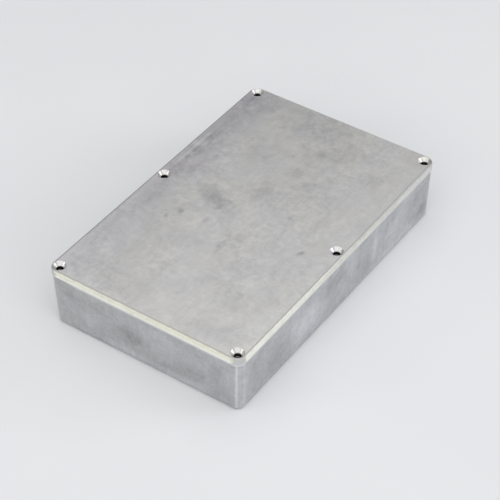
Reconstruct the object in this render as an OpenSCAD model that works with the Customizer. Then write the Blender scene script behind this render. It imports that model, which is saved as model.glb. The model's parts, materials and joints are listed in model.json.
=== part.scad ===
// Two-piece die-cast aluminium box: an open tray with six screw posts, and a
// flat lid that drops on it and is held by six countersunk screws.
// The origin is the centre of the base, +Z is up, X runs along the length.

/* [Overall] */
// Length over the lid
box_l = 188; // [160:1:240]
// Width over the lid
box_w = 120; // [100:1:160]
// Height from the base to the top of the lid
box_h = 37.6; // [34:0.2:90]
// Corner radius of the lid, seen from above
corner_r = 5.5; // [5:0.1:6]

/* [Body casting] */
// Thickness of the side walls
wall = 2.3; // [2:0.1:2.6]
// Thickness of the floor
floor_t = 2.3; // [2:0.1:3]
// Draft of the walls, in degrees from upright
draft = 2; // [1:0.1:2.2]
// Rounding of the bottom edge
base_r = 2.3; // [1.5:0.1:2.4]
// Rounding between the floor and the walls inside
inner_r = 1.6; // [1:0.1:2.5]
// How far the mouth of the body stands in from the edge of the lid
step_in = 0.35; // [0.2:0.05:0.5]

/* [Screw posts] */
// Distance from the edge of the lid to a screw axis
screw_inset = 4.75; // [4.7:0.05:5]
// Radius of a post at the mouth
post_r = 4.3; // [4:0.1:4.8]
// Draft of a post, in degrees from upright
post_draft = 2; // [1:0.1:2.2]
// Rounding between a post and the walls
post_fillet_r = 1.5; // [1:0.1:2]
// Diameter of a tapped hole at the crests of its thread
tap_d = 2.8; // [2.6:0.1:3]
// Depth of a tapped hole
tap_depth = 15; // [10:0.5:18]

/* [Lid casting] */
// Height of the lid's outer edge
lid_h = 4.2; // [3.8:0.1:5]
// Thickness of the lid's plate
plate_t = 2.2; // [2:0.1:2.6]
// Rounding of the lid's top edge
lid_r = 0.9; // [0.6:0.1:1.2]
// Draft of the lid's edge, in degrees from upright
lid_draft = 3; // [2:0.5:4]
// Height of the locating ridge below the lid's edge
ridge_h = 1.8; // [1.2:0.1:2.4]
// Thickness of the locating ridge
ridge_t = 1.4; // [1.2:0.1:1.8]
// Flat ledge between the locating ridge and the recess under the plate
ledge = 0.6; // [0.4:0.1:1]
// Rounding between a pad and the edge of the recess
pad_fillet_r = 1; // [0.6:0.1:1.4]
// Gap between the locating ridge and the walls
ridge_gap = 0.3; // [0.2:0.05:0.5]
// Diameter of a screw hole through the lid
hole_d = 3.8; // [3.6:0.1:4.2]
// Diameter of a countersink at the top of the lid
sink_d = 7.2; // [6.8:0.1:7.4]
// Full angle of a countersink
sink_angle = 82; // [80:1:90]

/* [Hidden] */
seam_z = box_h - lid_h;
// small bevel on both castings along the seam
seam_c = 0.25;
// screw axes: four at the corners, two half way along the long sides
sx = box_l / 2 - screw_inset;
sy = box_w / 2 - screw_inset;
corners = [[1, 1], [-1, 1], [-1, -1], [1, -1]];
screws = concat([for (c = corners) [c[0] * sx, c[1] * sy]], [[0, sy], [0, -sy]]);
// mouth of the body
body_l = box_l - 2 * step_in;
body_w = box_w - 2 * step_in;
mouth_l = body_l - 2 * wall;
mouth_w = body_w - 2 * wall;
sink_h = (sink_d - hole_d) / 2 / tan(sink_angle / 2);
// the locating ridge: distance of its two faces from the edge of the lid
ridge_out = step_in + wall + ridge_gap;
ridge_in = ridge_out + ridge_t;
recess_l = box_l - 2 * (ridge_in + ledge);
recess_w = box_w - 2 * (ridge_in + ledge);
// how far the pads round the lid's screw holes reach past a screw axis
pad_r = post_r + 1;
arc_n = 10;
over = 0.5;
$fn = 96;

// Points [inset, z] of an outside wall that leans out by a degrees from the
// base up to height h, with its bottom edge rounded by r.
function leaning_wall(h, a, r) = concat(
    [for (i = [0 : arc_n])
        let (u = -90 + (90 - a) * i / arc_n, rc = r * (1 - sin(a)) / cos(a))
        [h * tan(a) + rc - r * cos(u), r + r * sin(u)]],
    [[seam_c * tan(a), h - seam_c], [seam_c, h]]);

// Points [inset, z] of the lid's edge between the seam and its rounded top.
function lid_edge() =
    let (a = lid_draft, r = lid_r, rc = r * (1 - sin(a)) / cos(a))
    concat(
        [[seam_c, seam_z], [0, seam_z + seam_c]],
        [for (i = [0 : arc_n])
            let (u = a + (90 - a) * i / arc_n)
            [lid_h * tan(a) + rc - r * cos(u), box_h - r + r * sin(u)]]);

// Cross-section of a run as wide as 2 * half, between the inset points.
module section(half, pts) {
    n = len(pts);
    polygon(concat(
        [for (p = pts) [half - p[0], p[1]]],
        [for (i = [n - 1 : -1 : 0]) [-(half - pts[i][0]), pts[i][1]]]));
}

// Straight run along X, and the same along Y.
module run_x(len, half, pts) {
    rotate([90, 0, 90]) translate([0, 0, -len / 2]) linear_extrude(len) section(half, pts);
}
module run_y(len, half, pts) {
    rotate([90, 0, 0]) translate([0, 0, -len / 2]) linear_extrude(len) section(half, pts);
}

// Block of l by w whose sides follow the inset points, with its upright
// corners turned about axes r in from both sides.
module rounded_block(l, w, r, pts) {
    n = len(pts);
    union() {
        run_x(l - 2 * r, w / 2, pts);
        run_y(w - 2 * r, l / 2, pts);
        for (i = [0 : 3])
            translate([corners[i][0] * (l / 2 - r), corners[i][1] * (w / 2 - r), 0])
                rotate([0, 0, 90 * i])
                    rotate_extrude(angle = 90)
                        polygon(concat([[0, pts[0][1]]], [for (p = pts) [r - p[0], p[1]]], [[0, pts[n - 1][1]]]));
    }
}

// The hollow of the body, before the posts are put back in it.
module hollow() {
    a = draft;
    r = inner_r;
    h = seam_z - floor_t;
    rc = r * (1 - sin(a)) / cos(a);
    pts = concat(
        [for (i = [0 : 6])
            let (u = -90 + (90 - a) * i / 6)
            [h * tan(a) + rc - r * cos(u), floor_t + r + r * sin(u)]],
        [[-over * tan(a), seam_z + over]]);
    intersection() {
        run_x(box_l, mouth_w / 2, pts);
        run_y(box_w, mouth_l / 2, pts);
    }
}

// Distance along X, towards -X, and along Y from a screw axis to the axis of
// the rounding between its post and the wall on its +Y side, at height z.
function fillet_axis(z) =
    let (r = post_r + (seam_z - z) * tan(post_draft),
         y = mouth_w / 2 - sy - (seam_z - z) * tan(draft) - post_fillet_r)
    [sqrt(pow(r + post_fillet_r, 2) - y * y), y];

// Concave rounding on the -X side of a post, where it meets its +Y wall.
module post_fillet() {
    r = post_fillet_r;
    top = fillet_axis(seam_z);
    low = fillet_axis(floor_t);
    h = seam_z - floor_t;
    translate([-top[0], top[1], seam_z])
        rotate([-atan((top[1] - low[1]) / h), atan((low[0] - top[0]) / h), 0])
            translate([0, 0, -seam_z])
                difference() {
                    translate([0, -r * top[1] / (post_r + r), 0])
                        cube([2 * r, r + 2, seam_z + 2 * over]);
                    translate([0.03, 0.03, -1]) cylinder(r = r, h = seam_z + 3);
                }
}

// Post about its screw axis against the wall on its +Y side.
module side_post() {
    for (s = [0, 1]) mirror([s, 0, 0]) post_fillet();
    post();
}

// Post about its screw axis in the corner on its +X, +Y side.
module corner_post() {
    cube([body_l / 2 - sx, body_w / 2 - sy, seam_z + over]);
    post_fillet();
    mirror([1, -1, 0]) post_fillet();
    post();
}

module post() {
    h = seam_z + over;
    cylinder(r1 = post_r + seam_z * tan(post_draft), r2 = post_r - over * tan(post_draft), h = h);
}

// Blind tapped hole below the mouth, with a drill point and a broken edge.
module tapped_hole() {
    translate([0, 0, seam_z - tap_depth]) cylinder(d = tap_d, h = tap_depth + over);
    translate([0, 0, seam_z - tap_depth - tap_d / 2 * tan(31)])
        cylinder(r1 = 0, r2 = tap_d / 2, h = tap_d / 2 * tan(31));
    translate([0, 0, seam_z - 0.3]) cylinder(r1 = tap_d / 2, r2 = tap_d / 2 + 0.6, h = 0.6);
}

// The tray: one casting with walls, floor and six screw posts.
module body() {
    color([0.66, 0.67, 0.69])
    difference() {
        rounded_block(body_l, body_w, corner_r - step_in, leaning_wall(seam_z, draft, base_r));
        difference() {
            hollow();
            for (s = [0, 1]) mirror([0, s, 0]) translate([0, sy, 0]) side_post();
            for (i = [0, 1], j = [0, 1]) mirror([i, 0, 0]) mirror([0, j, 0])
                translate([sx, sy, 0]) corner_post();
        }
        for (p = screws) translate([p[0], p[1], 0]) tapped_hole();
    }
}

// Rounding in plan on the -X side of a pad, where it meets an edge that runs
// along X at a distance gap on the +Y side of the screw axis.
module pad_fillet(gap) {
    r = pad_fillet_r;
    y = gap - r;
    x = sqrt(pow(pad_r + r, 2) - y * y);
    translate([-x, y]) difference() {
        translate([0, -r * y / (pad_r + r)]) square([1.6 * r, 1.6 * r]);
        translate([0.02, 0.02]) circle(r = r);
    }
}

// Plan of the shallow recess under the lid: inside the ridge, round the pads.
module recess_plan() {
    gap_x = recess_l / 2 - sx;
    gap_y = recess_w / 2 - sy;
    difference() {
        square([recess_l, recess_w], center = true);
        for (p = screws) translate(p) circle(r = pad_r);
        for (i = [0, 1], j = [0, 1]) mirror([i, 0]) mirror([0, j]) translate([sx, sy]) {
            pad_fillet(gap_y);
            mirror([1, -1]) pad_fillet(gap_x);
        }
        for (i = [0, 1], j = [0, 1]) mirror([i, 0]) mirror([0, j]) translate([0, sy]) pad_fillet(gap_y);
    }
}

// Length of the locating ridge along X, its outer face towards +Y.
module ridge(len) {
    b = ridge_t * 0.16;
    translate([-len / 2, 0, seam_z])
        rotate([90, 0, 90])
            linear_extrude(len)
                polygon([[-ridge_t, 0.4], [0, 0.4], [0, 0], [-b / 2, -ridge_h + 0.3],
                    [-b / 2 - 0.3, -ridge_h], [-ridge_t + b / 2 + 0.3, -ridge_h],
                    [-ridge_t + b / 2, -ridge_h + 0.3], [-ridge_t, 0]]);
}

// The lid: one casting with a flat plate, a deeper edge and a locating ridge.
module lid() {
    free = pad_r + post_fillet_r + 0.4;
    long_run = sx - 2 * free;
    color([0.74, 0.75, 0.75])
    difference() {
        union() {
            difference() {
                rounded_block(box_l, box_w, corner_r, lid_edge());
                translate([0, 0, seam_z - over])
                    linear_extrude(lid_h - plate_t + over) recess_plan();
            }
            for (i = [-1, 1]) {
                translate([i * sx / 2, box_w / 2 - ridge_out, 0]) ridge(long_run);
                translate([i * sx / 2, -(box_w / 2 - ridge_out), 0]) mirror([0, 1, 0]) ridge(long_run);
            }
            for (s = [-1, 1])
                translate([s * (box_l / 2 - ridge_out), 0, 0])
                    rotate([0, 0, -90 * s]) ridge(2 * (sy - free));
        }
        for (p = screws) translate([p[0], p[1], 0]) {
            translate([0, 0, seam_z - over]) cylinder(d = hole_d, h = lid_h + 2 * over);
            translate([0, 0, box_h - sink_h])
                cylinder(r1 = hole_d / 2, r2 = sink_d / 2 + over * tan(sink_angle / 2), h = sink_h + over);
        }
    }
}

body();
lid();
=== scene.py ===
import json
import math

import bmesh
import bpy
import numpy as np
from mathutils import Matrix, Vector
from mathutils.geometry import delaunay_2d_cdt


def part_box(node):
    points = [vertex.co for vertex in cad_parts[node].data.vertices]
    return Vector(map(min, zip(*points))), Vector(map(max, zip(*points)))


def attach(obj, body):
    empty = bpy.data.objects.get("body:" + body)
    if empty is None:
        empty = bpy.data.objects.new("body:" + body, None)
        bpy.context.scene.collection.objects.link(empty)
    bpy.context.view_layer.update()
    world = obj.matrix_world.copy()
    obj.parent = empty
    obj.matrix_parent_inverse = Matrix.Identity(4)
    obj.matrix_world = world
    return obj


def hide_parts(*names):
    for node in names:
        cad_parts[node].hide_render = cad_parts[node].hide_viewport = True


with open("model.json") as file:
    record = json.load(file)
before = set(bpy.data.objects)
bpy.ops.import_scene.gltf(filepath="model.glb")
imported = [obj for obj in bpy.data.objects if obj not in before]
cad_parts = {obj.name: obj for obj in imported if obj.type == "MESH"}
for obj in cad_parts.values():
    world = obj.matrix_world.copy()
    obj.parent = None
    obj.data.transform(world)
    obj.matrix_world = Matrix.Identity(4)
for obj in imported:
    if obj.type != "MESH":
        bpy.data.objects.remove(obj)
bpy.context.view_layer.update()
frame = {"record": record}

# ---------------------------------------------------------------- sizes, mm
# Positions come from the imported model; the rest are the castings' own details.
MM = 0.001
lid_lo, lid_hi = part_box("lid")
body_lo, body_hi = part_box("body")
mounts = {m["name"]: m for m in frame["record"]["mounts"]}
L = (lid_hi.x - lid_lo.x) / MM
W = (lid_hi.y - lid_lo.y) / MM
H = lid_hi.z / MM
SEAM = body_hi.z / MM
BL = (body_hi.x - body_lo.x) / MM
BW = (body_hi.y - body_lo.y) / MM
SX = mounts["lid_corner_holes"]["dims"]["spacing_x_mm"] / 2
SY = mounts["lid_corner_holes"]["dims"]["spacing_y_mm"] / 2
HOLE_R = mounts["lid_corner_holes"]["dims"]["hole_r_mm"]
TAP_R = mounts["post_corner_taps"]["dims"]["hole_r_mm"]
RIDGE_LOW = lid_lo.z / MM
SCREWS = [(SX, SY), (-SX, SY), (-SX, -SY), (SX, -SY), (0.0, SY), (0.0, -SY)]
CORNER_R = 5.5
STEP = (L - BL) / 2
WALL, FLOOR_T, DRAFT, BASE_R, INNER_R = 2.3, 2.3, math.tan(math.radians(2.0)), 2.3, 1.6
POST_R, POST_FILLET = 4.3, 1.5
LID_DRAFT, LID_R, PLATE_T = math.tan(math.radians(3.0)), 0.9, 2.2
SINK_R = 3.6
SINK_H = (SINK_R - HOLE_R) / math.tan(math.radians(41.0))
RIDGE_OUT, RIDGE_T, LEDGE, PAD_R, PAD_FILLET = STEP + WALL + 0.3, 1.4, 0.6, POST_R + 1.0, 1.0
SEAM_R = 0.25


# ------------------------------------------------------------ plan outlines
def arc(cx, cy, r, a0, a1, n):
    """n + 1 points on an arc, angles in degrees."""
    t = np.radians(np.linspace(a0, a1, n + 1))
    return np.stack([cx + r * np.cos(t), cy + r * np.sin(t)], 1)


def line(a, b, n):
    """The n - 1 points between a and b, without either."""
    t = np.linspace(0, 1, n + 1)[1:-1, None]
    return np.array(a) * (1 - t) + np.array(b) * t


def rounded(l, w, r, inset, long_n=48, short_n=30, corner_n=20):
    """Rounded rectangle l by w, moved in by inset. It has the same number of points at any inset."""
    rr = max(r - inset, 0.3)
    hx, hy = l / 2 - inset - rr, w / 2 - inset - rr
    out = []
    for cx, cy, a, n in ((hx, hy, 0, long_n), (-hx, hy, 90, short_n), (-hx, -hy, 180, long_n), (hx, -hy, 270, short_n)):
        out.append(arc(cx, cy, rr, a, a + 90, corner_n))
        end = out[-1][-1]
        nxt = {0: (-hx, hy + rr), 90: (-hx - rr, -hy), 180: (hx, -hy - rr), 270: (hx + rr, hy)}[a]
        out.append(line(end, nxt, n))
    return np.concatenate(out)


def pocket(hx, hy, big, small, d, wall_n=(18, 26), fillet_n=9, post_n=30):
    """Outline of a pocket whose half sizes are hx and hy, round the six screw posts of radius big, with small fillets.
    It is moved in by d, and has the same number of points at any d."""
    x, y, r = hx - d, hy - d, big + d
    f = small

    def foot(gap):
        c = gap - f
        return math.sqrt((r + f) ** 2 - c * c), c

    ax, ac = foot(x - SX)
    bx, bc = foot(y - SY)
    deg = math.degrees
    q = []
    # right wall, up to the corner post
    start = (x, 0.0)
    q.append(np.array([start]))
    q.append(line(start, (x, SY - ax), wall_n[0]))
    q.append(arc(SX + ac, SY - ax, f, 0, deg(math.atan2(ax, -ac)), fillet_n))
    a0, a1 = deg(math.atan2(-ax, ac)), deg(math.atan2(bc, -bx)) % 360 - 360
    q.append(arc(SX, SY, r, a0, a1, post_n)[1:-1])
    q.append(arc(SX - bx, SY + bc, f, deg(math.atan2(-bc, bx)), 90, fillet_n))
    # back wall, as far as the middle post
    q.append(line((SX - bx, y), (bx, y), wall_n[1]))
    q.append(arc(bx, SY + bc, f, 90, deg(math.atan2(-bc, -bx)) % 360, fillet_n))
    q.append(arc(0, SY, r, deg(math.atan2(bc, bx)), -90, post_n // 2)[1:])
    q = np.concatenate(q)
    q[-1] = (0.0, SY - r)
    m1 = (q * (-1, 1))[::-1][1:]
    half = np.concatenate([q, m1])
    other = -half
    return np.concatenate([half[:-1], other[:-1]])


def circle(cx, cy, r, n, phase=0.0):
    t = np.arange(n) / n * 2 * np.pi + phase
    return np.stack([cx + r * np.cos(t), cy + r * np.sin(t)], 1)


def stadium(cx, cy, length, width, along_x, inset, n=10, m=24):
    """Bar with round ends, moved in by inset."""
    r = width / 2 - inset
    h = length / 2 - width / 2
    a = arc(h, 0, r, -90, 90, n)
    b = arc(-h, 0, r, 90, 270, n)
    p = np.concatenate([a, line(a[-1], b[0], m), b, line(b[-1], a[0], m)])
    if not along_x:
        p = np.stack([-p[:, 1], p[:, 0]], 1)
    return p + (cx, cy)


def quarter(n, start=0.0, end=90.0):
    return [math.radians(start + (end - start) * i / n) for i in range(n + 1)]


# --------------------------------------------------------------- mesh maker
def inside(points, ring):
    """Which points lie in a closed ring, by crossing number."""
    x, y = points[:, 0][:, None], points[:, 1][:, None]
    ax, ay = ring[:, 0], ring[:, 1]
    bx, by = np.roll(ax, -1), np.roll(ay, -1)
    dy = np.where(by == ay, 1e-12, by - ay)
    hit = ((ay > y) != (by > y)) & (x < (bx - ax) * (y - ay) / dy + ax)
    return hit.sum(1) % 2 == 1


class Skin:
    """Vertices in mm and faces of one closed mesh, made of lofts between rings and of flat caps."""

    def __init__(self):
        self.v, self.f, self.m = [], [], []

    def ring(self, plan, z):
        z = np.broadcast_to(np.asarray(z, float), (len(plan),))
        start = len(self.v)
        self.v += [(float(p[0]), float(p[1]), float(h)) for p, h in zip(plan, z)]
        return list(range(start, start + len(plan)))

    def point(self, x, y, z):
        self.v.append((x, y, z))
        return len(self.v) - 1

    def loft(self, rings, mat=0):
        for a, b in zip(rings, rings[1:]):
            n = len(a)
            for i in range(n):
                j = (i + 1) % n
                self.f.append((a[i], a[j], b[j], b[i]))
                self.m.append(mat)
        return rings[-1]

    def fan(self, ring, tip, mat=0):
        n = len(ring)
        for i in range(n):
            self.f.append((ring[i], ring[(i + 1) % n], tip))
            self.m.append(mat)

    def cap(self, outer, holes=(), mat=0, step=None, margin=1.2, lift=None, z=None):
        """Flat face between an outer ring and hole rings, with a grid of points step apart whose height lift(x, y) may change."""
        idx = list(outer)
        edges, rings = [], []
        base = 0
        for r in [outer, *holes]:
            n = len(r)
            edges += [(base + i, base + (i + 1) % n) for i in range(n)]
            rings.append(np.array([self.v[k][:2] for k in r]))
            base += n
        for h in holes:
            idx += list(h)
        flat = z if z is not None else self.v[outer[0]][2]
        if step:
            lo, hi = rings[0].min(0), rings[0].max(0)
            nx, ny = max(2, int((hi[0] - lo[0]) / step)), max(2, int((hi[1] - lo[1]) / step))
            gx, gy = np.meshgrid(np.linspace(lo[0], hi[0], nx + 1), np.linspace(lo[1], hi[1], ny + 1))
            gx = gx + (np.arange(ny + 1)[:, None] % 2) * (hi[0] - lo[0]) / nx / 2
            g = np.stack([gx.ravel(), gy.ravel()], 1)
            ok = inside(g, rings[0])
            for h in rings[1:]:
                ok &= ~inside(g, h)
            g = g[ok]
            near = np.full(len(g), 1e9)
            for h in rings:
                a, b = h, np.roll(h, -1, 0)
                d = b - a
                t = ((g[:, None] - a) * d).sum(2) / np.maximum((d * d).sum(1), 1e-12)
                t = np.clip(t, 0, 1)[..., None]
                near = np.minimum(near, np.sqrt((((a + t * d) - g[:, None]) ** 2).sum(2)).min(1))
            g = g[near > margin]
            near = near[near > margin]
            for p, e in zip(g, near):
                dz = lift(p[0], p[1], e) if lift else 0.0
                idx.append(self.point(float(p[0]), float(p[1]), flat + dz))
        pts = [Vector(self.v[k][:2]) for k in idx]
        ov, _, of, orig, _, _ = delaunay_2d_cdt(pts, edges, [], 0, 1e-7)
        where = [idx[o[0]] if o else None for o in orig]
        tri = [t for t in of if all(where[k] is not None for k in t)]
        mid = np.array([[sum(ov[k].x for k in t) / 3, sum(ov[k].y for k in t) / 3] for t in tri])
        ok = inside(mid, rings[0])
        for h in rings[1:]:
            ok &= ~inside(mid, h)
        for t, keep in zip(tri, ok):
            if keep:
                self.f.append(tuple(where[k] for k in t))
                self.m.append(mat)

    def mesh(self, name, materials):
        me = bpy.data.meshes.new(name)
        me.from_pydata([(x * MM, y * MM, z * MM) for x, y, z in self.v], [], self.f)
        for m in materials:
            me.materials.append(m)
        me.polygons.foreach_set("material_index", self.m)
        bm = bmesh.new()
        bm.from_mesh(me)
        bmesh.ops.remove_doubles(bm, verts=bm.verts, dist=1e-8)
        bmesh.ops.recalc_face_normals(bm, faces=bm.faces)
        open_edges = [e for e in bm.edges if len(e.link_faces) != 2]
        if open_edges:
            print("OPEN EDGES in", name, len(open_edges), [tuple(round(c / MM, 2) for c in e.verts[0].co) for e in open_edges[:6]])
        bm.to_mesh(me)
        bm.free()
        me.update()
        return me


def finish_mesh(me, angle=38.0, crisp=None):
    """Smooth shading with the edges that are sharper than angle kept sharp, and those whose two ends crisp picks."""
    bm = bmesh.new()
    bm.from_mesh(me)
    for f in bm.faces:
        f.smooth = True
    lim = math.radians(angle)
    for e in bm.edges:
        e.smooth = len(e.link_faces) == 2 and e.calc_face_angle(0.0) < lim
        if crisp and all(crisp(v.co / MM) for v in e.verts):
            e.smooth = False
    bm.to_mesh(me)
    bm.free()


def add_object(name, me, body, node):
    ob = bpy.data.objects.new(name, me)
    bpy.context.scene.collection.objects.link(ob)
    wn = ob.modifiers.new("even_normals", "WEIGHTED_NORMAL")
    wn.mode = "FACE_AREA"
    wn.weight = 50
    wn.keep_sharp = True
    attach(ob, body)
    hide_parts(node)
    return ob


# ------------------------------------------------------------------- body
def edge_round(z_top, r, n, down=True):
    """(inset, z) of a rounding of radius r from a flat at z_top into an upright wall."""
    s = -1 if down else 1
    return [(r - r * math.sin(t), z_top + s * (r - r * math.cos(t))) for t in quarter(n)]


def wave(x, y, e, amount, seed):
    """Gentle unevenness of a cast plate, in mm, which dies away towards its edges."""
    k = 0.0
    for i in range(5):
        a = seed * 1.7 + i * 2.39
        f = 0.018 + 0.011 * i
        k += math.sin(f * (x * math.cos(a) + y * math.sin(a)) * 2 * math.pi + seed * 3.1 + i * 1.3) / (1 + 0.6 * i)
    fade = min(1.0, max(0.0, (e - 1.0) / 14.0))
    return amount * fade * fade * (3 - 2 * fade) * (k / 3.0 - 0.9)


def build_body(materials):
    s = Skin()
    # outside: seam rounding, drafted wall, rounded bottom edge
    r0 = CORNER_R - STEP
    prof = edge_round(SEAM, SEAM_R, 4)
    prof = [(i, z) for i, z in prof]
    a = math.atan(DRAFT)
    rc = BASE_R * (1 - math.sin(a)) / math.cos(a)
    wall_in = lambda z: (SEAM - z) * DRAFT
    zs = np.linspace(SEAM - SEAM_R - 1.2, BASE_R + 1.2, 6)
    prof += [(wall_in(z), z) for z in zs]
    for t in quarter(12, math.degrees(-a), -90):
        prof.append((SEAM * DRAFT + rc - BASE_R * math.cos(t), BASE_R + BASE_R * math.sin(t)))
    rings = [s.ring(rounded(BL, BW, r0, i), z) for i, z in prof]
    s.loft(rings, 0)
    bottom = rings[-1]
    # a ring just inside the bottom face keeps it flat right up to its edge
    low_in = prof[-1][0]
    b2 = s.ring(rounded(BL, BW, r0, low_in + 0.35), 0.0)
    s.loft([bottom, b2], 0)
    s.cap(b2, (), 0, step=5.0, margin=3.0)
    # inside: lip rounding, drafted walls and posts, rounded foot, floor
    mx, my = BL / 2 - WALL, BW / 2 - WALL
    lip = 0.18
    prof_in = [(-i, z) for i, z in edge_round(SEAM, lip, 3)]
    zs = np.linspace(SEAM - 1.5, FLOOR_T + INNER_R, 7)
    prof_in += [(wall_in(z), z) for z in zs]
    rc = INNER_R * (1 - math.sin(a)) / math.cos(a)
    base_in = (SEAM - FLOOR_T) * DRAFT
    prof_in.pop()
    for t in quarter(7, math.degrees(-a), -90):
        prof_in.append((base_in + rc - INNER_R * math.cos(t), FLOOR_T + INNER_R + INNER_R * math.sin(t)))
    rings = [s.ring(pocket(mx, my, POST_R, POST_FILLET, i), z) for i, z in prof_in]
    s.loft(rings, 1)
    mouth, foot = rings[0], rings[-1]
    f2 = s.ring(pocket(mx, my, POST_R, POST_FILLET, prof_in[-1][0] + 0.3), FLOOR_T)
    s.loft([foot, f2], 1)
    # marks of the ejector pins on the floor
    pins = []
    for px, py, pr in ((-62, -36, 3.0), (62, -36, 3.0), (-62, 36, 3.0), (62, 36, 3.0), (0, -30, 3.0), (0, 30, 3.0), (-30, 0, 2.5), (30, 0, 2.5)):
        pins.append(pin_mark(s, px, py, FLOOR_T, pr, 1, -1))
    s.cap(f2, pins, 1, step=4.0, margin=2.0, lift=lambda x, y, e: wave(x, y, e, 0.06, 4))
    # rim: the ground face round the mouth, with the tapped holes in it
    taps = []
    n = 32
    for x, y in SCREWS:
        top = s.ring(circle(x, y, TAP_R + 0.42, n), SEAM)
        taps.append(top)
        chain = [top]
        for t in (0.25, 0.6, 1.0):
            chain.append(s.ring(circle(x, y, TAP_R + 0.42 - 0.34 * t, n), SEAM - 0.38 * t))
        pitch, depth, cut = 0.794, 15.0, 0.34
        rows = 132
        for i in range(rows + 1):
            z = SEAM - 0.45 - (depth - 0.45) * i / rows
            th = np.arange(n) / n * 2 * np.pi
            u = (z / pitch - th / (2 * np.pi)) % 1.0
            tri = np.clip((0.5 - np.abs(u - 0.5)) * 2 * 1.25 - 0.12, 0, 1)
            full = min(1.0, (SEAM - 0.45 - z) / 0.4, max(0.0, (z - (SEAM - depth)) / 1.6))
            r = TAP_R + 0.02 + cut * tri * full
            chain.append(s.ring(np.stack([x + r * np.cos(th), y + r * np.sin(th)], 1), z))
        s.loft(chain[:4], 2)
        s.loft(chain[3:], 3)
        tip = s.point(x, y, SEAM - depth - TAP_R * math.tan(math.radians(31)))
        s.fan(chain[-1], tip, 3)
    outer_rim = s.ring(rounded(BL, BW, r0, SEAM_R), SEAM)
    s.cap(outer_rim, [mouth, *taps], 2)
    me = s.mesh("tray_casting", materials)
    finish_mesh(me)
    return add_object("tray_casting", me, "body", "body")


def pin_mark(s, x, y, z, r, mat, sign):
    """Round mark of an ejector pin: a shallow step with a soft edge. Returns its outer ring."""
    n = 32
    rows = [(r + 0.12, 0.0), (r + 0.03, 0.02), (r, 0.09), (r - 0.06, 0.13), (r - 0.3, 0.14)]
    rings = [s.ring(circle(x, y, rr, n), z + sign * d) for rr, d in rows]
    s.loft(rings, mat)
    s.cap(rings[-1], (), mat)
    return rings[0]


# -------------------------------------------------------------------- lid
def build_lid(materials):
    s = Skin()
    # edge: seam rounding, drafted side, rounded top
    a = math.atan(LID_DRAFT)
    prof = [(i, z) for i, z in edge_round(SEAM, SEAM_R, 4, down=False)]
    rc = LID_R * (1 - math.sin(a)) / math.cos(a)
    for z in (SEAM + 0.6, SEAM + 1.6, SEAM + 2.6):
        prof.append(((z - SEAM) * LID_DRAFT, z))
    for t in quarter(12, math.degrees(a), 90):
        prof.append(((H - SEAM) * LID_DRAFT + rc - LID_R * math.cos(t), H - LID_R + LID_R * math.sin(t)))
    rings = [s.ring(rounded(L, W, CORNER_R, i), z) for i, z in prof]
    s.loft(rings[:7], 1)
    s.loft(rings[6:], 1)
    top = s.ring(rounded(L, W, CORNER_R, prof[-1][0] + 0.3), H)
    s.loft([rings[-1], top], 0)
    s.cap(top, (), 0, step=3.2, margin=1.6, lift=lambda x, y, e: wave(x, y, min(e, 30), 0.05, 1))
    # underside: rim, locating ridges, recess round the pads
    rx, ry = L / 2 - RIDGE_OUT - RIDGE_T - LEDGE, W / 2 - RIDGE_OUT - RIDGE_T - LEDGE
    depth = H - PLATE_T - SEAM
    lean = math.tan(math.radians(3))
    prof = [(-0.15, SEAM), (-0.04, SEAM + 0.05), (0.0, SEAM + 0.16), (depth * 0.5 * lean, SEAM + depth * 0.5)]
    rf = 0.6
    for t in quarter(6, 0, 90):
        prof.append(((depth - rf) * lean + rf - rf * math.cos(t), SEAM + depth - rf + rf * math.sin(t)))
    rings_in = [s.ring(pocket(rx, ry, PAD_R, PAD_FILLET, i), z) for i, z in prof]
    s.loft(rings_in, 2)
    f2 = s.ring(pocket(rx, ry, PAD_R, PAD_FILLET, prof[-1][0] + 0.3), SEAM + depth)
    s.loft([rings_in[-1], f2], 2)
    pins = []
    for px, py in ((-70, -42), (70, -42), (-70, 42), (70, 42), (0, -42), (0, 42), (-36, 0), (36, 0)):
        pins.append(pin_mark(s, px, py, SEAM + depth, 2.5, 2, 1))
    s.cap(f2, pins, 2, step=4.0, margin=2.0, lift=lambda x, y, e: wave(x, y, e, 0.05, 7) + 0.05)
    ridges = []
    free = PAD_R + 1.5 + 0.4
    ym, xm = W / 2 - RIDGE_OUT - RIDGE_T / 2, L / 2 - RIDGE_OUT - RIDGE_T / 2
    low = SEAM - RIDGE_LOW
    for i in (-1, 1):
        for j in (-1, 1):
            ridges.append(ridge(s, i * SX / 2, j * ym, SX - 2 * free, True, low))
        ridges.append(ridge(s, i * xm, 0, 2 * (SY - free), False, low))
    rim = s.ring(rounded(L, W, CORNER_R, SEAM_R), SEAM)
    s.cap(rim, [rings_in[0], *ridges], 3)
    me = s.mesh("lid_shell", materials)
    shell = bpy.data.objects.new("lid_shell", me)
    bpy.context.scene.collection.objects.link(shell)
    cutter = bpy.data.objects.new("hole_cutter", hole_cutters(materials))
    bpy.context.scene.collection.objects.link(cutter)
    cut = shell.modifiers.new("holes", "BOOLEAN")
    cut.operation, cut.solver, cut.object = "DIFFERENCE", "MANIFOLD", cutter
    dg = bpy.context.evaluated_depsgraph_get()
    done = bpy.data.meshes.new_from_object(shell.evaluated_get(dg))
    for o in (shell, cutter):
        bpy.data.objects.remove(o)
    done.name = "lid_casting"
    tidy_cut(done)
    finish_mesh(done, crisp=hole_lip)
    return add_object("lid_casting", done, "lid", "lid")


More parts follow.
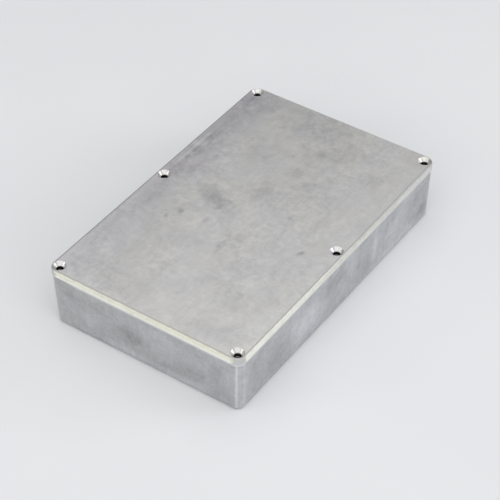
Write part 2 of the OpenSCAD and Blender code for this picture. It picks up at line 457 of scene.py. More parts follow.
def ridge(s, x, y, length, along_x, low):
    """Locating ridge hanging from the rim: soft foot, leaning sides, round tip. Returns its foot ring."""
    rows = [(-0.02, 0.0), (0.02, -0.12), (0.05, -0.3), (0.09, -low + 0.45)]
    for t in quarter(5):
        rows.append((0.12 + 0.34 * (1 - math.cos(t)), -low + 0.34 - 0.34 * math.sin(t)))
    rings = [s.ring(stadium(x, y, length, RIDGE_T, along_x, i), SEAM + z) for i, z in rows]
    s.loft(rings, 2)
    s.cap(rings[-1], (), 2)
    return rings[0]


def hole_cutters(materials):
    """Six turned cutters: through hole, countersink and the small rounding of their edges."""
    s = Skin()
    n = 72
    k = (SINK_R - HOLE_R) / SINK_H
    for x, y in SCREWS:
        rows = [(HOLE_R + 0.3, SEAM - 1.0), (HOLE_R + 0.3, SEAM - 0.02), (HOLE_R + 0.16, SEAM + 0.03), (HOLE_R, SEAM + 0.2),
                (HOLE_R, SEAM + 0.9), (HOLE_R, H - SINK_H - 0.08), (HOLE_R + 0.03, H - SINK_H + 0.02), (HOLE_R + 0.1, H - SINK_H + 0.11),
                (HOLE_R + k * SINK_H * 0.5, H - SINK_H * 0.5),
                (SINK_R - 0.05, H - 0.05 / k), (SINK_R - 0.005, H - 0.03), (SINK_R + 0.04, H + 0.005), (SINK_R + 0.2, H + 0.1), (SINK_R + 0.2, H + 2)]
        rings = [s.ring(circle(x, y, r, n), z) for r, z in rows]
        s.loft(rings, 4)
        s.fan(rings[0], s.point(x, y, rows[0][1]), 4)
        s.fan(rings[-1], s.point(x, y, rows[-1][1]), 4)
    return s.mesh("hole_cutter", materials)


def hole_lip(p):
    """True on the two lips of a screw hole."""
    d = min(math.hypot(p.x - x, p.y - y) for x, y in SCREWS)
    return (abs(d - SINK_R) < 0.16 and p.z > H - 0.12) or (HOLE_R + 0.1 < d < HOLE_R + 0.36 and p.z < SEAM + 0.06)


def tidy_cut(me):
    """Gives the cut faces their own material and removes the slivers that a cut leaves."""
    bm = bmesh.new()
    bm.from_mesh(me)
    bmesh.ops.dissolve_degenerate(bm, edges=bm.edges, dist=2e-7)
    bmesh.ops.triangulate(bm, faces=[f for f in bm.faces if len(f.verts) > 4])
    bmesh.ops.recalc_face_normals(bm, faces=bm.faces)
    for f in bm.faces:
        c = f.calc_center_median() / MM
        d = min(math.hypot(c.x - x, c.y - y) for x, y in SCREWS)
        if d < SINK_R + 0.06 and abs(f.normal.z) < 0.9:
            f.material_index = 4
    bad = [e for e in bm.edges if len(e.link_faces) != 2]
    if bad:
        print("OPEN EDGES after cut", len(bad))
    bm.to_mesh(me)
    bm.free()


# -------------------------------------------------------------- materials
class Nodes:
    """Short hand for a material's node tree, in the object's own metres."""

    def __init__(self, name):
        self.mat = bpy.data.materials.new(name)
        self.mat.use_nodes = True
        self.tree = self.mat.node_tree
        self.tree.nodes.clear()
        self.out = self.tree.nodes.new("ShaderNodeOutputMaterial")
        self.shader = self.tree.nodes.new("ShaderNodeBsdfPrincipled")
        self.tree.links.new(self.shader.outputs[0], self.out.inputs[0])
        self.coord = self.tree.nodes.new("ShaderNodeTexCoord").outputs["Object"]

    def link(self, a, b):
        self.tree.links.new(a, b)

    def put(self, value, socket):
        if hasattr(value, "is_linked"):
            self.link(value, socket)
        else:
            socket.default_value = value

    def moved(self, scale=(1, 1, 1), rotate=(0, 0, 0), shift=(0, 0, 0)):
        n = self.tree.nodes.new("ShaderNodeMapping")
        self.link(self.coord, n.inputs["Vector"])
        n.inputs["Scale"].default_value = scale
        n.inputs["Rotation"].default_value = rotate
        n.inputs["Location"].default_value = shift
        return n.outputs[0]

    def noise(self, size_mm, detail=4.0, rough=0.55, warp=0.0, where=None):
        n = self.tree.nodes.new("ShaderNodeTexNoise")
        self.link(where if where is not None else self.coord, n.inputs["Vector"])
        n.inputs["Scale"].default_value = 1000.0 / size_mm
        n.inputs["Detail"].default_value = detail
        n.inputs["Roughness"].default_value = rough
        n.inputs["Distortion"].default_value = warp
        return n.outputs["Fac"]

    def cells(self, size_mm, where=None, feature="F1", random=1.0):
        n = self.tree.nodes.new("ShaderNodeTexVoronoi")
        n.feature = feature
        self.link(where if where is not None else self.coord, n.inputs["Vector"])
        n.inputs["Scale"].default_value = 1000.0 / size_mm
        n.inputs["Randomness"].default_value = random
        return n.outputs["Distance"]

    def spread(self, value, a, b, c=0.0, d=1.0, smooth=True):
        n = self.tree.nodes.new("ShaderNodeMapRange")
        n.interpolation_type = "SMOOTHSTEP" if smooth else "LINEAR"
        n.clamp = True
        self.put(value, n.inputs["Value"])
        for key, x in (("From Min", a), ("From Max", b), ("To Min", c), ("To Max", d)):
            n.inputs[key].default_value = x
        return n.outputs["Result"]

    def math(self, op, a, b=0.0, c=None, clamp=False):
        n = self.tree.nodes.new("ShaderNodeMath")
        n.operation = op
        n.use_clamp = clamp
        self.put(a, n.inputs[0])
        self.put(b, n.inputs[1])
        if c is not None:
            self.put(c, n.inputs[2])
        return n.outputs[0]

    def mix(self, fac, a, b):
        n = self.tree.nodes.new("ShaderNodeMix")
        n.data_type = "RGBA"
        self.put(fac, n.inputs["Factor"])
        ins = [s for s in n.inputs if s.type == "RGBA"]
        for s, x in zip(ins, (a, b)):
            self.put(x if hasattr(x, "is_linked") else (*x, 1.0), s)
        return [s for s in n.outputs if s.type == "RGBA"][0]

    def tint(self, color, a, b, f):
        """color multiplied by a tint that runs from a (f 0) to b (f 1)."""
        n = self.tree.nodes.new("ShaderNodeVectorMath")
        n.operation = "MULTIPLY"
        self.link(color, n.inputs[0])
        self.link(self.mix(f, a, b), n.inputs[1])
        return n.outputs[0]

    def pair(self, first, second):
        """The two named object axes as X and Y."""
        axes = self.xyz()
        n = self.tree.nodes.new("ShaderNodeCombineXYZ")
        self.link(axes[first], n.inputs[0])
        self.link(axes[second], n.inputs[1])
        return n.outputs[0]

    def xyz(self, vector=None):
        n = self.tree.nodes.new("ShaderNodeSeparateXYZ")
        self.link(vector if vector is not None else self.coord, n.inputs[0])
        return n.outputs

    def bump(self, layers):
        """layers: (height, depth in mm, strength), fine ones last."""
        last = None
        for height, depth, strength in layers:
            n = self.tree.nodes.new("ShaderNodeBump")
            n.inputs["Strength"].default_value = strength
            n.inputs["Distance"].default_value = depth * MM
            self.link(height, n.inputs["Height"])
            if last is not None:
                self.link(last, n.inputs["Normal"])
            last = n.outputs[0]
        self.link(last, self.shader.inputs["Normal"])

    def finish(self, color, rough, metal=1.0):
        self.put(color if hasattr(color, "is_linked") else (*color, 1.0), self.shader.inputs["Base Color"])
        self.put(rough, self.shader.inputs["Roughness"])
        self.shader.inputs["Metallic"].default_value = metal
        return self.mat


def spot(n, edge, x, y, rx, ry, turn, soft=0.8, where=None):
    """A soft patch, 1 in its middle and 0 outside: centre and half sizes in mm, turn in degrees. edge makes its outline ragged."""
    t = math.radians(-turn)
    turned = n.tree.nodes.new("ShaderNodeMapping")
    n.link(where if where is not None else n.coord, turned.inputs["Vector"])
    turned.inputs["Rotation"].default_value = (0, 0, t)
    cx, cy = x * math.cos(t) - y * math.sin(t), x * math.sin(t) + y * math.cos(t)
    turned.inputs["Location"].default_value = (-cx * MM, -cy * MM, 0)
    scaled = n.tree.nodes.new("ShaderNodeVectorMath")
    scaled.operation = "MULTIPLY"
    n.link(turned.outputs[0], scaled.inputs[0])
    scaled.inputs[1].default_value = (1000 / rx, 1000 / ry, 0.0)
    length = n.tree.nodes.new("ShaderNodeVectorMath")
    length.operation = "LENGTH"
    n.link(scaled.outputs[0], length.inputs[0])
    d = n.math("ADD", length.outputs["Value"], edge)
    return n.spread(d, 1.0 + soft * 0.5, 1.0 - soft, 0.0, 1.0)


def stain_and_sheen(n, tone, edge, patches, where=None, mask=None):
    """tone with each patch (x, y, rx, ry, turn, amount) taken off it."""
    for x, y, rx, ry, turn, amount in patches:
        patch = spot(n, edge, x, y, rx, ry, turn, 0.8, where)
        if mask is not None:
            patch = n.math("MULTIPLY", patch, mask)
        tone = n.math("MULTIPLY_ADD", patch, -amount, tone)
    return tone


def near_holes(n, holes, r0, r1):
    """1 within r0 mm of a hole's axis, 0 beyond r1."""
    best = None
    for x, y in holes:
        sub = n.tree.nodes.new("ShaderNodeVectorMath")
        sub.operation = "SUBTRACT"
        n.link(n.coord, sub.inputs[0])
        sub.inputs[1].default_value = (x * MM, y * MM, 0)
        flat = n.tree.nodes.new("ShaderNodeVectorMath")
        flat.operation = "MULTIPLY"
        n.link(sub.outputs[0], flat.inputs[0])
        flat.inputs[1].default_value = (1, 1, 0)
        length = n.tree.nodes.new("ShaderNodeVectorMath")
        length.operation = "LENGTH"
        n.link(flat.outputs[0], length.inputs[0])
        d = length.outputs["Value"]
        best = d if best is None else n.math("MINIMUM", best, d)
    return n.spread(best, r0 * MM, r1 * MM, 1.0, 0.0), best


def cast_skin(name, light, dark, rough, cloud=1.0, grain=1.0, seed=0.0):
    """Die cast aluminium as it leaves the tool and the tumbler: cloudy tone, fine satin grain, small pits."""
    n = Nodes(name)
    where = n.moved(shift=(0.13 + seed, 0.41 - seed, 0.27 + seed * 0.5))
    big = n.noise(34.0, 4.0, 0.55, 0.6, where)
    mid = n.noise(9.0, 5.0, 0.6, 0.3, where)
    fine = n.noise(1.3, 4.0, 0.65, 0.0, where)
    tone = n.math("MULTIPLY_ADD", n.spread(big, 0.35, 0.65), 0.55, n.math("MULTIPLY", n.spread(mid, 0.3, 0.7), 0.3))
    tone = n.math("ADD", tone, n.math("MULTIPLY", n.spread(fine, 0.25, 0.75, smooth=False), 0.25))
    speck = n.noise(3.6, 4.0, 0.65, 0.5, where)
    tone = n.math("ADD", tone, n.spread(speck, 0.25, 0.75, -0.22, 0.12, smooth=False))
    tone = n.math("MULTIPLY_ADD", n.math("SUBTRACT", tone, 0.5), cloud, 0.5, clamp=True)
    color = n.mix(tone, dark, light)
    r = n.spread(tone, 0.0, 1.0, rough + 0.05, rough - 0.04, smooth=False)
    r = n.math("MULTIPLY_ADD", n.math("SUBTRACT", fine, 0.5), 0.12, r)
    pits = n.spread(n.cells(0.9, where), 0.0, 0.22, 0.0, 1.0)
    n.bump([(mid, 0.05 * grain, 0.25), (speck, 0.04 * grain, 0.35), (fine, 0.03 * grain, 0.55), (n.noise(0.35, 3.0, 0.6, 0.0, where), 0.012 * grain, 0.5), (pits, 0.01 * grain, 0.2)])
    return n, color, r, where


def lid_top():
    """The lid's face: satin grey with cloudy patches from the casting, light rubbing along its length and a few stains."""
    n = Nodes("cast_top")
    big = n.noise(42.0, 3.0, 0.5, 0.5, n.moved(shift=(0.61, 0.17, 0.9)))
    mid = n.noise(11.0, 5.0, 0.62, 0.8, n.moved(shift=(0.23, 0.71, 0.4)))
    small = n.noise(3.2, 4.0, 0.6, 0.4, n.moved(shift=(0.5, 0.31, 0.2)))
    fine = n.noise(0.9, 3.0, 0.65)
    rubbed = n.noise(2.2, 4.0, 0.7, 0.0, n.moved(scale=(0.09, 1.0, 1.0)))
    across = n.noise(3.0, 3.0, 0.6, 0.0, n.moved(scale=(1.0, 0.14, 1.0), rotate=(0, 0, math.radians(12))))
    axes = n.xyz()
    x, y = axes["X"], axes["Y"]
    # painted shade: the whole face is painted darker towards the back (+Y) and towards +X, the fall of the light across
    # it
    tone = n.math("MULTIPLY_ADD", x, -0.35, 0.66)
    tone = n.math("MULTIPLY_ADD", y, -1.15, tone)
    tone = n.math("ADD", tone, n.spread(big, 0.3, 0.7, -0.05, 0.05))
    tone = n.math("ADD", tone, n.spread(mid, 0.25, 0.75, -0.15, 0.15, smooth=False))
    busy = n.spread(n.noise(30.0, 2.0, 0.5, 0.0, n.moved(shift=(0.02, 0.4, 0))), 0.4, 0.6, 0.35, 1.0)
    tone = n.math("MULTIPLY_ADD", n.spread(small, 0.2, 0.8, -0.22, 0.22, smooth=False), busy, tone)
    tone = n.math("ADD", tone, n.spread(rubbed, 0.25, 0.75, -0.06, 0.06, smooth=False))
    tone = n.math("ADD", tone, n.spread(across, 0.3, 0.7, -0.03, 0.03, smooth=False))
    tone = n.math("ADD", tone, n.spread(fine, 0.2, 0.8, -0.07, 0.07, smooth=False))
    edge = n.math("MULTIPLY_ADD", n.noise(5.0, 4.0, 0.65), 1.6, -0.8)
    tone = stain_and_sheen(n, tone, edge, [
        (62, 56, 44, 9, 0, 0.25), (70, 47, 26, 9, -4, 0.15), (16, 49, 24, 12, -8, 0.24), (-38, 55, 50, 9, 0, 0.10), (-22, 46, 20, 7, 5, 0.10),
        (-1, 20, 8, 7, 25, 0.30), (3, 29, 6, 9, -20, 0.14), (-6, 12, 8, 6, 0, 0.12), (19, 3, 8, 6, 0, 0.14), (84, 20, 12, 40, 0, 0.17), (60, 0, 46, 26, 0, 0.07),
        (-29, -3, 7, 3, 0, 0.20), (-20, -8, 4, 3.5, 30, 0.18), (41, -3, 5, 4, 0, 0.20), (61, -6, 4, 3.5, 20, 0.20), (36, -15, 6, 4, 0, 0.14),
        (12, -37, 9, 4, -10, 0.16), (59, -41, 7, 7, 0, 0.16), (-80, 30, 12, 24, 0, 0.10), (-85, -38, 5, 12, 0, 0.07), (45, 24, 9, 8, 0, 0.10), (66, -18, 10, 7, 0, 0.08), (30, 55.8, 24, 0.9, 0, -0.22), (32, 53.8, 22, 0.8, 0, 0.14), (-45, 57, 40, 0.8, 0, -0.12)])
    dots = n.math("MULTIPLY_ADD", n.noise(1.6, 3.0, 0.6), 1.2, -0.6)
    tone = stain_and_sheen(n, tone, dots, [(-27, 34, 1.7, 1.3, 0, 0.34), (-20, 29.5, 2.3, 1.7, 20, 0.40), (-18.5, 14.5, 2.4, 1.6, 0, 0.24),
                                 (-12, -41, 2.6, 1.5, -25, 0.50), (28, 41, 2.0, 1.5, 0, 0.14), (52, 33, 2.2, 1.4, 30, 0.14)])
    tone = stain_and_sheen(n, tone, dots, [(34, -13, 1.6, 1.2, 0, 0.20), (38, -17, 1.4, 1.1, 0, 0.18), (30, -8, 1.3, 1.0, 0, 0.16), (-31, -3, 1.5, 1.0, 0, 0.18), (-24, -5, 1.3, 1.0, 0, 0.16),
                                 (44, -2, 1.4, 1.1, 0, 0.18), (62, -7, 1.5, 1.2, 0, 0.08), (-72, -6, 1.6, 1.2, 0, 0.14), (8, -21, 1.2, 1.0, 0, 0.14), (52, 6, 1.4, 1.0, 0, 0.14)])
    tone = n.math("ADD", tone, 0.0, clamp=True)
    color = n.mix(tone, (0.41, 0.402, 0.42), (0.88, 0.876, 0.858))
    # warm and cool casts in the skin, cooler in the band along the back
    cast = n.noise(24.0, 2.0, 0.5, 0.4, n.moved(shift=(0.9, 0.5, 0.1)))
    cool = n.math("MULTIPLY_ADD", n.spread(cast, 0.42, 0.62), 0.6, n.spread(y, 0.030, 0.052), clamp=True)
    color = n.tint(color, (1.0, 0.996, 0.976), (1.0, 0.988, 1.004), cool)
    # rings left by the cutter that sank the holes
    hole, far = near_holes(n, SCREWS, SINK_R + 0.2, SINK_R + 6.0)
    rings = n.tree.nodes.new("ShaderNodeMath")
    rings.operation = "SINE"
    n.link(n.math("MULTIPLY", far, 2 * math.pi / (1.3 * MM)), rings.inputs[0])
    rings = n.math("MULTIPLY", rings.outputs[0], hole)
    rough = n.spread(tone, 0.0, 1.0, 0.54, 0.42, smooth=False)
    rough = n.math("MULTIPLY_ADD", n.math("SUBTRACT", fine, 0.5), 0.16, rough)
    pits = n.spread(n.cells(1.7, n.moved(shift=(0.3, 0.3, 0))), 0.0, 0.10, 0.0, 1.0)
    n.bump([(mid, 0.06, 0.2), (small, 0.04, 0.35), (rubbed, 0.01, 0.5), (fine, 0.035, 0.8), (pits, 0.04, 0.8), (rings, 0.008, 0.8), (n.noise(0.3, 2.0, 0.6), 0.006, 0.6)])
    return n.finish(color, rough)


def outside_skin():
    """The tray's outside: tumbled casting, mottled in patches and upright streaks, with painted highlight strips up its
    corners, painted floor reflection low on its walls and its -Y side painted lighter.
    """
    n = Nodes("cast_outside")
    big = n.noise(26.0, 3.0, 0.55, 0.8, n.moved(shift=(0.37, 0.12, 0.55)))
    mid = n.noise(7.5, 5.0, 0.62, 1.0, n.moved(shift=(0.9, 0.2, 0.35)))
    upright = n.noise(5.5, 3.0, 0.55, 0.3, n.moved(scale=(1, 1, 0.22), shift=(0.15, 0.45, 0)))
    small = n.noise(2.2, 4.0, 0.62, 0.3, n.moved(shift=(0.7, 0.7, 0.1)))
    fine = n.noise(0.8, 3.0, 0.65)
    tone = n.spread(big, 0.32, 0.68, 0.41, 0.59)
    tone = n.math("ADD", tone, n.spread(mid, 0.25, 0.75, -0.12, 0.12, smooth=False))
    tone = n.math("ADD", tone, n.spread(upright, 0.3, 0.7, -0.05, 0.05, smooth=False))
    tone = n.math("ADD", tone, n.spread(small, 0.2, 0.8, -0.17, 0.17, smooth=False))
    tone = n.math("ADD", tone, n.spread(fine, 0.2, 0.8, -0.08, 0.08, smooth=False))
    axes = n.xyz()
    on_end = n.spread(axes["X"], -0.0905, -0.0915)
    on_side = n.spread(axes["Y"], -0.0565, -0.0575)
    edge = n.math("MULTIPLY_ADD", n.noise(4.0, 4.0, 0.65), 1.8, -0.9)
    # painted reflection: the long pale strips low down, at z 4.2 on the -X end and z 4.5 on the -Y side, stand in for
    # the bright floor mirrored in the wall; the other patches are mottling
    tone = stain_and_sheen(n, tone, edge, [(10, 15.5, 12, 8, 10, 0.24), (-32, 11.5, 8, 5, 0, 0.10), (48, 24, 6, 5, 0, 0.10), (26, 25, 7, 4, 0, 0.14), (-46, 21, 5, 7, 0, 0.14),
                                 (-10, 27, 14, 4, 0, -0.10), (34, 12, 9, 6, 0, -0.10), (0, 4.2, 46, 2.4, 0, -0.14), (-16, 7, 12, 4, 0, 0.10)], n.pair("Y", "Z"), on_end)
    tone = stain_and_sheen(n, tone, edge, [(-35, 15, 16, 11, 0, -0.26), (-8, 24, 14, 6, 0, 0.22), (19, 13, 14, 8, 0, 0.14), (33, 18, 2.4, 14, 0, -0.26), (84, 9, 6, 5, 0, 0.26),
                                 (-68, 20, 18, 11, 0, 0.14), (56, 17, 15, 9, 0, -0.12), (60, 4.5, 34, 3, 0, -0.16), (75, 24, 10, 5, 0, 0.12)], n.pair("X", "Z"), on_side)
    # the belt that trimmed the lid's edge took the top of the wall with it
    rim_cut = n.math("MULTIPLY_ADD", n.noise(4.0, 3.0, 0.6), 0.9 * MM, axes["Z"])
    rim_cut = n.math("MULTIPLY", n.spread(rim_cut, 0.0321, 0.0334), n.spread(axes["Y"], 0.050, 0.040))
    tone = n.math("MULTIPLY_ADD", rim_cut, 0.75, tone)
    # painted highlight: two narrow bright strips up each rounded upright corner stand in for its glint, with some
    # rubbing wear
    ax, ay = n.math("ABSOLUTE", axes["X"]), n.math("ABSOLUTE", axes["Y"])
    wander = n.math("MULTIPLY_ADD", n.noise(6.0, 3.0, 0.6), 0.7 * MM, -0.35 * MM)
    across = n.math("ADD", n.math("SUBTRACT", n.math("SUBTRACT", ax, ay), (BL - BW) / 2 * MM), wander)
    off = n.math("ABSOLUTE", n.math("SUBTRACT", across, 1.8 * MM))
    off2 = n.math("ABSOLUTE", n.math("ADD", across, 3.9 * MM))
    rounds = n.math("MINIMUM", n.math("SUBTRACT", ax, (BL / 2 - CORNER_R) * MM), n.math("SUBTRACT", ay, (BW / 2 - CORNER_R) * MM))
    rounds = n.math("MULTIPLY", n.spread(rounds, -1.0 * MM, 0.0), n.spread(axes["Z"], 0.4 * MM, 2.2 * MM))
    tone = n.math("MULTIPLY_ADD", n.math("MULTIPLY", n.spread(off, 1.5 * MM, 0.2 * MM), rounds), 0.42, tone)
    tone = n.math("MULTIPLY_ADD", n.math("MULTIPLY", n.spread(off2, 1.2 * MM, 0.2 * MM), rounds), 0.16, tone, clamp=True)
    color = n.mix(tone, (0.35, 0.352, 0.36), (0.73, 0.732, 0.742))
    # painted light: the -Y side is painted a little lighter and bluer than the -X end, for the light on it and the
    # bluish floor it mirrors
    color = n.tint(color, (0.985, 0.99, 0.985), (1.03, 1.03, 1.045), on_side)
    rough = n.spread(tone, 0.0, 1.0, 0.56, 0.44, smooth=False)
    rough = n.math("MULTIPLY_ADD", n.math("SUBTRACT", fine, 0.5), 0.14, rough)
    pits = n.spread(n.cells(1.1, n.moved(shift=(0.1, 0.6, 0.3))), 0.0, 0.14, 0.0, 1.0)
    n.bump([(big, 0.10, 0.15), (mid, 0.07, 0.3), (small, 0.05, 0.5), (fine, 0.035, 0.8), (pits, 0.04, 0.8), (n.noise(0.3, 2.0, 0.6), 0.006, 0.6)])
    return n.finish(color, rough)


def trimmed_edge_and_sheen():
    """The lid's edge where the flash was linished off: paler, rougher, with short scratches along it; towards the -X
    end its extra paleness is painted highlight and its warm tint painted reflection.
    """
    n = Nodes("trimmed_edge_and_sheen")
    axes = n.xyz()
    x, y, z = axes["X"], axes["Y"], axes["Z"]
    # the edge is palest round the corner nearest (-X, -Y) and along the -X end: trimming, with painted highlight where
    # the lights glance off it
    trim_and_sheen = n.spread(n.math("MULTIPLY_ADD", y, 0.10, x), -0.092, 0.03, 1.0, 0.0)
    trim_and_sheen = n.math("MULTIPLY", trim_and_sheen, n.spread(y, 0.0595, 0.0575, 0.25, 1.0))
    patch = n.noise(9.0, 4.0, 0.6, 0.5, n.moved(shift=(0.2, 0.8, 0)))
    small = n.noise(1.5, 4.0, 0.65, 0.3)
    dash = n.noise(0.8, 3.0, 0.6, 0.0, n.moved(scale=(0.35, 0.35, 1.0)))
    tone = n.math("ADD", n.spread(patch, 0.3, 0.7, -0.12, 0.12), n.spread(small, 0.2, 0.8, -0.22, 0.22, smooth=False))
    tone = n.math("ADD", tone, n.spread(dash, 0.25, 0.75, -0.16, 0.16, smooth=False))
    tone = n.math("MULTIPLY_ADD", trim_and_sheen, 0.52, tone)
    tone = n.math("ADD", tone, 0.40, clamp=True)
    color = n.mix(tone, (0.58, 0.58, 0.57), (0.99, 0.99, 0.92))
    # painted reflection: the -X end below its rounding is tinted warm yellow, a warm lamp mirrored in it
    at_end = n.spread(x, -0.086, -0.0925)
    color = n.tint(color, (1.0, 1.0, 0.985), (1.0, 1.0, 0.925), n.math("MULTIPLY", at_end, n.spread(z, 0.0338, 0.0352)))
    color = n.tint(color, (1.0, 1.0, 1.0), (0.985, 0.985, 1.02), n.spread(x, 0.020, 0.080))
    # the flat belt did not reach round the corners
    ax, ay = n.math("ABSOLUTE", x), n.math("ABSOLUTE", y)
    reach = n.math("MULTIPLY_ADD", n.noise(2.6, 4.0, 0.7), 5.0 * MM, -2.5 * MM)
    reach = n.math("ADD", reach, n.math("MINIMUM", n.math("SUBTRACT", ax, (BL / 2 - CORNER_R) * MM), n.math("SUBTRACT", ay, (BW / 2 - CORNER_R) * MM)))
    color = n.mix(n.spread(reach, -0.2 * MM, 1.9 * MM, 0.0, 0.85), color, (0.60, 0.60, 0.61))
    line = n.math("ABSOLUTE", n.math("ADD", n.math("SUBTRACT", z, 0.0359), n.math("MULTIPLY_ADD", n.noise(6.0, 3.0, 0.6), 0.4 * MM, -0.2 * MM)))
    line = n.math("MULTIPLY", n.spread(line, 0.45 * MM, 0.05 * MM), at_end)
    color = n.mix(n.math("MULTIPLY", line, 0.32), color, (0.66, 0.66, 0.60))
    # the very top of the rounding is painted darker, a little further down towards +X; the back edge was left as cast;
    # painted shade: a dark line along the top of the back edge
    wander = n.math("MULTIPLY_ADD", n.noise(3.0, 3.0, 0.6), 0.5 * MM, -0.25 * MM)
    darker_rounding_top = n.spread(x, 0.000, 0.020, 0.0, 0.35 * MM)
    darker_rounding_top = n.math("ADD", darker_rounding_top, n.math("ADD", z, wander))
    color = n.mix(n.spread(darker_rounding_top, 0.03690, 0.03745, 0.0, 0.9), color, (0.46, 0.455, 0.44))
    as_cast = n.spread(patch, 0.3, 0.7, 0.55, 0.85)
    color = n.mix(n.math("MULTIPLY", n.spread(y, 0.0575, 0.0586), as_cast), color, (0.56, 0.56, 0.57))
    painted_back_shade = n.math("MULTIPLY", n.spread(y, 0.0583, 0.0590, 0.0, 0.85), n.spread(n.math("ADD", z, wander), 0.0364, 0.0371))
    color = n.mix(painted_back_shade, color, (0.30, 0.30, 0.31))
    color = n.mix(n.math("MULTIPLY", n.spread(x, 0.0925, 0.0932), as_cast), color, (0.78, 0.79, 0.82))
    rough = n.spread(n.math("ADD", small, dash), 0.6, 1.4, 0.46, 0.62, smooth=False)
    n.bump([(patch, 0.06, 0.3), (small, 0.05, 0.6), (dash, 0.02, 0.7), (n.noise(0.3, 2.0, 0.6), 0.006, 0.6)])
    return n.finish(color, rough)


def cut_hole():
    """Countersink and clearance hole: bright turned cone, duller down the bore, with painted shade making the bore
    nearly black.
    """
    n = Nodes("cut_hole")
    z = n.xyz()["Z"]
    small = n.noise(0.9, 3.0, 0.6)
    turned = n.noise(0.22, 2.0, 0.6, 0.0, n.moved(scale=(0.05, 0.05, 1.0)))
    # painted shade: below the countersink the bore is painted nearly black
    lit = n.spread(n.math("MULTIPLY_ADD", n.math("SUBTRACT", small, 0.5), 0.5 * MM, z), (H - SINK_H - 0.95) * MM, (H - SINK_H - 0.35) * MM)
    tone = n.math("MULTIPLY", lit, n.spread(small, 0.2, 0.8, 0.8, 1.0), clamp=True)
    color = n.mix(tone, (0.03, 0.03, 0.035), (0.74, 0.74, 0.75))
    color = n.tint(color, (1.0, 0.99, 0.90), (1.0, 0.98, 1.0), n.spread(n.noise(4.0, 2.0, 0.5), 0.4, 0.6))
    rough = n.spread(lit, 0.0, 1.0, 0.7, 0.34)
    n.bump([(turned, 0.012, 0.5), (small, 0.015, 0.3)])
    return n.finish(color, rough)


def plain_skin(name, light, dark, rough, cloud=1.0, grain=1.0, seed=0.0, hole_shadow_ring=None):
    n, color, r, where = cast_skin(name, light, dark, rough, cloud, grain, seed)
    if hole_shadow_ring:
        # painted shadow: a near-black ring round each tapped hole, the shade the lid casts there
        ring, _ = near_holes(n, SCREWS, hole_shadow_ring[0], hole_shadow_ring[1])
        color = n.mix(n.math("MULTIPLY", ring, hole_shadow_ring[2]), color, (0.05, 0.05, 0.055))
    return n.finish(color, r)


def make_materials():
    return {
        "outside": outside_skin(),
        "inside": plain_skin("cast_inside", (0.66, 0.66, 0.675), (0.48, 0.485, 0.50), 0.52, 1.0, 1.2, 1.7),
        "top": lid_top(),
        "under": plain_skin("cast_under", (0.66, 0.66, 0.67), (0.50, 0.50, 0.515), 0.50, 1.0, 1.0, 4.4),
        "edge": trimmed_edge_and_sheen(),
        "rim": plain_skin("ground_rim", (0.80, 0.80, 0.81), (0.66, 0.66, 0.67), 0.34, 0.8, 0.4, 7.2, (TAP_R + 0.3, TAP_R + 0.75, 0.75)),
        "under_rim": plain_skin("ground_under_rim", (0.78, 0.78, 0.79), (0.64, 0.64, 0.65), 0.36, 0.8, 0.4, 2.9),
        "thread": plain_skin("cut_thread", (0.42, 0.42, 0.43), (0.28, 0.28, 0.29), 0.40, 0.6, 0.3, 8.8),
        "hole": cut_hole(),
    }


mats = make_materials()
tray = build_body([mats["outside"], mats["inside"], mats["rim"], mats["thread"]])
lid = build_lid([mats["top"], mats["edge"], mats["under"], mats["under_rim"], mats["hole"]])


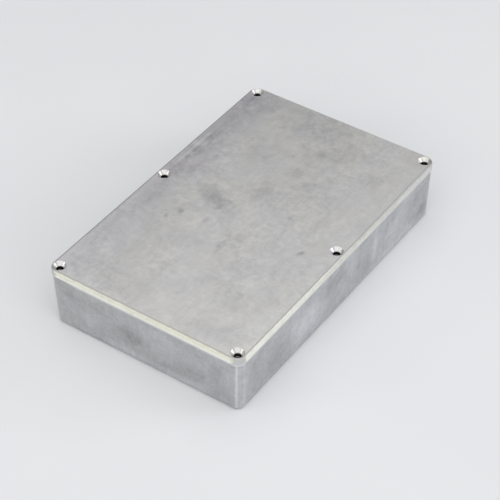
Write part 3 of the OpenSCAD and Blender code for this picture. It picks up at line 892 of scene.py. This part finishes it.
# ------------------------------------------------- floor, light and camera
def make_floor():
    me = bpy.data.meshes.new("studio_floor")
    bm = bmesh.new()
    bmesh.ops.create_grid(bm, x_segments=8, y_segments=8, size=4.0)
    bm.to_mesh(me)
    bm.free()
    ob = bpy.data.objects.new("studio_floor", me)
    bpy.context.scene.collection.objects.link(ob)
    ob.location = (0, 0, -0.00005)
    mat = bpy.data.materials.new("pale_paper")
    mat.use_nodes = True
    sh = mat.node_tree.nodes["Principled BSDF"]
    tree = mat.node_tree
    where = tree.nodes.new("ShaderNodeTexCoord")
    cloud = tree.nodes.new("ShaderNodeTexNoise")
    cloud.inputs["Scale"].default_value = 7.0
    cloud.inputs["Detail"].default_value = 3.0
    tree.links.new(where.outputs["Object"], cloud.inputs["Vector"])
    ramp = tree.nodes.new("ShaderNodeValToRGB")
    ramp.color_ramp.elements[0].position, ramp.color_ramp.elements[0].color = 0.35, (0.785, 0.790, 0.801, 1)
    ramp.color_ramp.elements[1].position, ramp.color_ramp.elements[1].color = 0.65, (0.803, 0.807, 0.817, 1)
    tree.links.new(cloud.outputs["Fac"], ramp.inputs["Fac"])
    tree.links.new(ramp.outputs["Color"], sh.inputs["Base Color"])
    sh.inputs["Roughness"].default_value = 0.9
    sh.inputs["Specular IOR Level"].default_value = 0.2
    me.materials.append(mat)
    return ob


def area_light(name, at, look, size, power, color=(1, 1, 1)):
    data = bpy.data.lights.new(name, "AREA")
    data.shape = "RECTANGLE"
    data.size, data.size_y = size
    data.energy = power
    data.color = color
    ob = bpy.data.objects.new(name, data)
    ob.location = at
    ob.rotation_euler = (Vector(at) - Vector(look)).to_track_quat("Z", "Y").to_euler()
    bpy.context.scene.collection.objects.link(ob)
    return ob


make_floor()
world = bpy.data.worlds.new("studio")
world.use_nodes = True
world.node_tree.nodes["Background"].inputs[0].default_value = (0.985, 0.99, 1.0, 1)
world.node_tree.nodes["Background"].inputs[1].default_value = 0.38
bpy.context.scene.world = world
area_light("soft_above", (0.15, 0.1, 1.7), (0, 0, 0), (2.4, 2.4), 13.0, (0.985, 0.99, 1.0))
area_light("soft_front", (-1.15, -0.8, 1.2), (0, 0, 0), (3.2, 2.4), 21.0, (0.985, 0.99, 1.0))
area_light("soft_left", (-1.05, 0.90, 0.60), (0, 0, 0.03), (0.6, 0.5), 2.4, (1.0, 0.985, 0.96))
area_light("soft_right", (0.80, -1.15, 0.50), (0, 0, 0.03), (0.8, 0.5), 4.8, (0.98, 0.98, 1.0))

cam = bpy.data.cameras.new("camera")
cam.lens, cam.sensor_width, cam.sensor_fit = 124.62, 36.0, "HORIZONTAL"
cam.clip_start, cam.clip_end = 0.01, 50
cam_ob = bpy.data.objects.new("camera", cam)
right, up, back = Vector((0.567183, -0.82359, -0.001577)), Vector((0.550178, 0.377465, 0.744871)), Vector((-0.612878, -0.423342, 0.667208))
turn = Matrix((right, up, back)).transposed().to_4x4()
cam_ob.matrix_world = Matrix.Translation((-0.570515, -0.395099, 0.631933)) @ turn
bpy.context.scene.collection.objects.link(cam_ob)
bpy.context.scene.camera = cam_ob
bpy.context.scene.view_settings.view_transform = "Standard"
